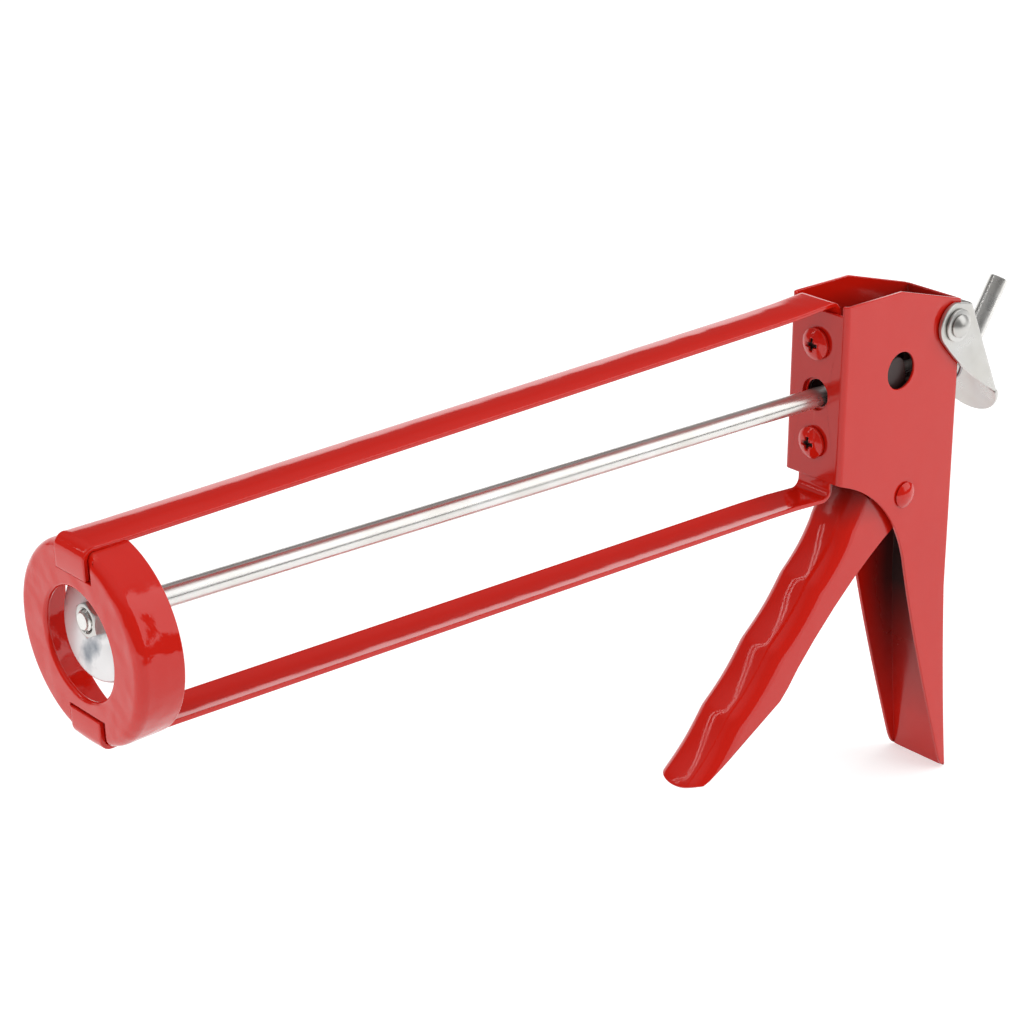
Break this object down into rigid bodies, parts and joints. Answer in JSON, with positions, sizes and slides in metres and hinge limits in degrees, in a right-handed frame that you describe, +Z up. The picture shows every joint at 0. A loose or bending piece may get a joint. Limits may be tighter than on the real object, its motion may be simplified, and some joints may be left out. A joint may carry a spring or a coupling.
{
  "type": "caulking gun",
  "caption": "Open-frame caulking gun with a strap cradle, pressed front ring, squeeze trigger, friction-driven push rod and thumb release lever.",
  "frame": {"origin": "back face of the grip on the middle plane, level with the trigger's pivot", "axes": "+X forward to the nozzle end, +Y to the gun's left, +Z up"},
  "size_m": [0.3737, 0.058, 0.1856],
  "materials": {
    "red_paint": "gloss red enamel over pressed steel",
    "zinc_plate": "bright zinc plating",
    "spring_steel": "drawn spring wire",
    "hardened_steel": "dark hardened steel"
  },
  "bodies": {
    "frame": {"handle_body": "red_paint", "frame_strap": "red_paint", "front_ring": "red_paint", "trigger_rivet": "red_paint", "frame_screw_upper": "red_paint", "frame_screw_lower": "red_paint", "frame_nut_upper": "zinc_plate", "frame_nut_lower": "zinc_plate", "lever_rivet": "zinc_plate", "lever_washer_left": "zinc_plate", "lever_washer_right": "zinc_plate", "main_spring": "spring_steel", "lever_spring": "spring_steel"},
    "rod": {"push_rod": "zinc_plate", "plunger_nut_front": "zinc_plate", "plunger_nut_back": "zinc_plate"},
    "plunger": {"plunger_plate": "zinc_plate"},
    "trigger": {"trigger": "red_paint"},
    "drive": {"drive_plate": "hardened_steel"},
    "lever": {"release_lever": "zinc_plate"}
  },
  "joints": [
    {"name": "rod_slide", "type": "slide", "parent": "frame", "child": "rod", "axis": [0.9998, 0, 0.0175], "range_m": [-0.262, 0]},
    {"name": "plunger_tilt", "type": "hinge", "parent": "rod", "child": "plunger", "pos_m": [0.32781, 0, 0.04346], "axis": [0, 1, 0], "range_deg": [0, 28]},
    {"name": "trigger_squeeze", "type": "hinge", "parent": "frame", "child": "trigger", "pos_m": [0.0233, 0, 0], "axis": [0, 1, 0], "range_deg": [0, 17], "stiffness_Nm_per_rad": 1.5, "springref_deg": -17.19},
    {"name": "drive_slide", "type": "slide", "parent": "frame", "child": "drive", "axis": [0.9998, 0, 0.0175], "range_m": [0, 0.0127], "deforming": ["main_spring"]},
    {"name": "lever_release", "type": "hinge", "parent": "frame", "child": "lever", "pos_m": [0.0038, 0, 0.0556], "axis": [0, -1, 0], "range_deg": [0, 8], "stiffness_Nm_per_rad": 0.3, "springref_deg": -17.19, "deforming": ["lever_spring"]}
  ],
  "couplings": [
    {"joint": "drive_slide", "follows": "trigger_squeeze", "m_per_rad": 0.0425}
  ]
}
